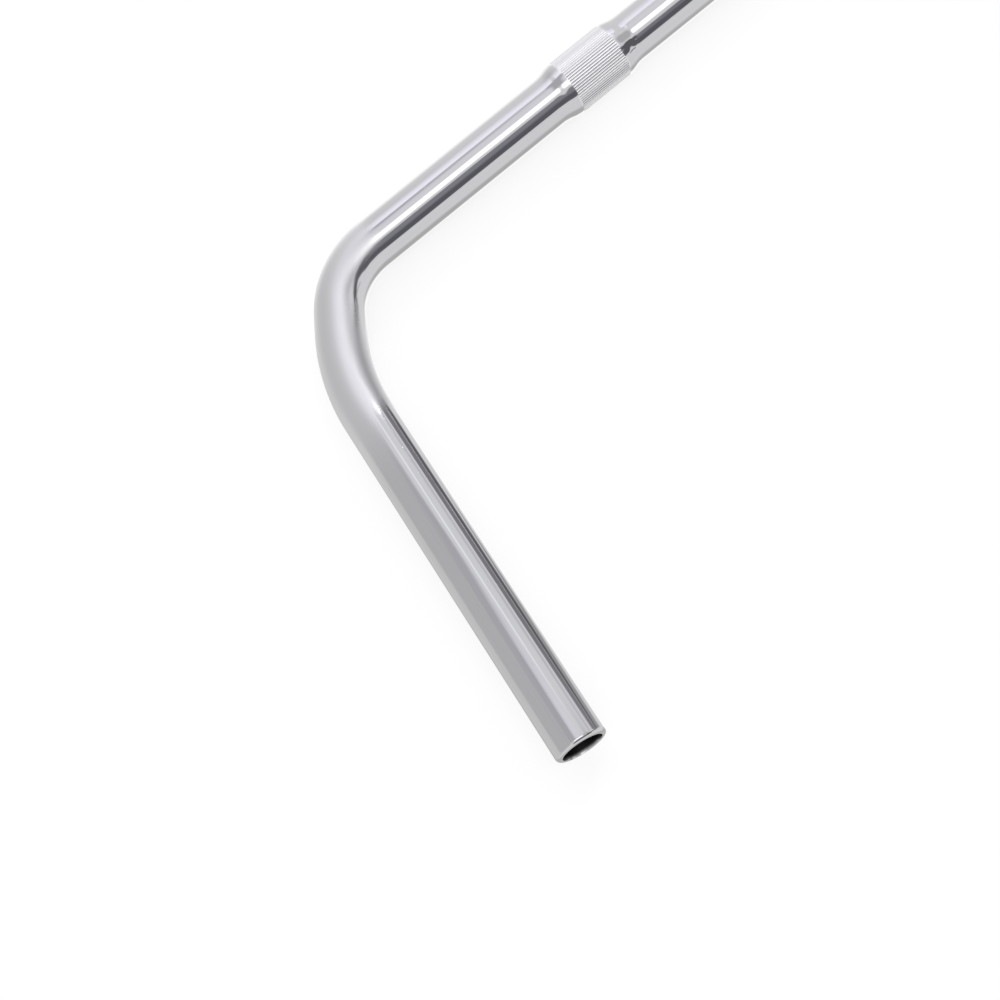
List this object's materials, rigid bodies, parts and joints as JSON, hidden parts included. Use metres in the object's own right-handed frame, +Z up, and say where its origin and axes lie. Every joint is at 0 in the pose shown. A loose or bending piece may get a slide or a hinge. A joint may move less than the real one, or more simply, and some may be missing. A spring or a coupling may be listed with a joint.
{
  "type": "flat handlebar",
  "caption": "Flat bicycle handlebar: a polished aluminium tube with a knurled clamp barrel in the middle, bent in one plane to a long open-ended grip on each side.",
  "frame": {"origin": "centre of the stem clamp barrel, on its axis", "axes": "+X along the barrel to the rider's right, -Y along the grips towards the rider, +Z up, normal to the plane that the bar lies in"},
  "size_m": [0.395, 0.241, 0.0254],
  "materials": {
    "polished_aluminium": "polished"
  },
  "bodies": {
    "root": {"handlebar": "polished_aluminium"}
  },
  "joints": []
}
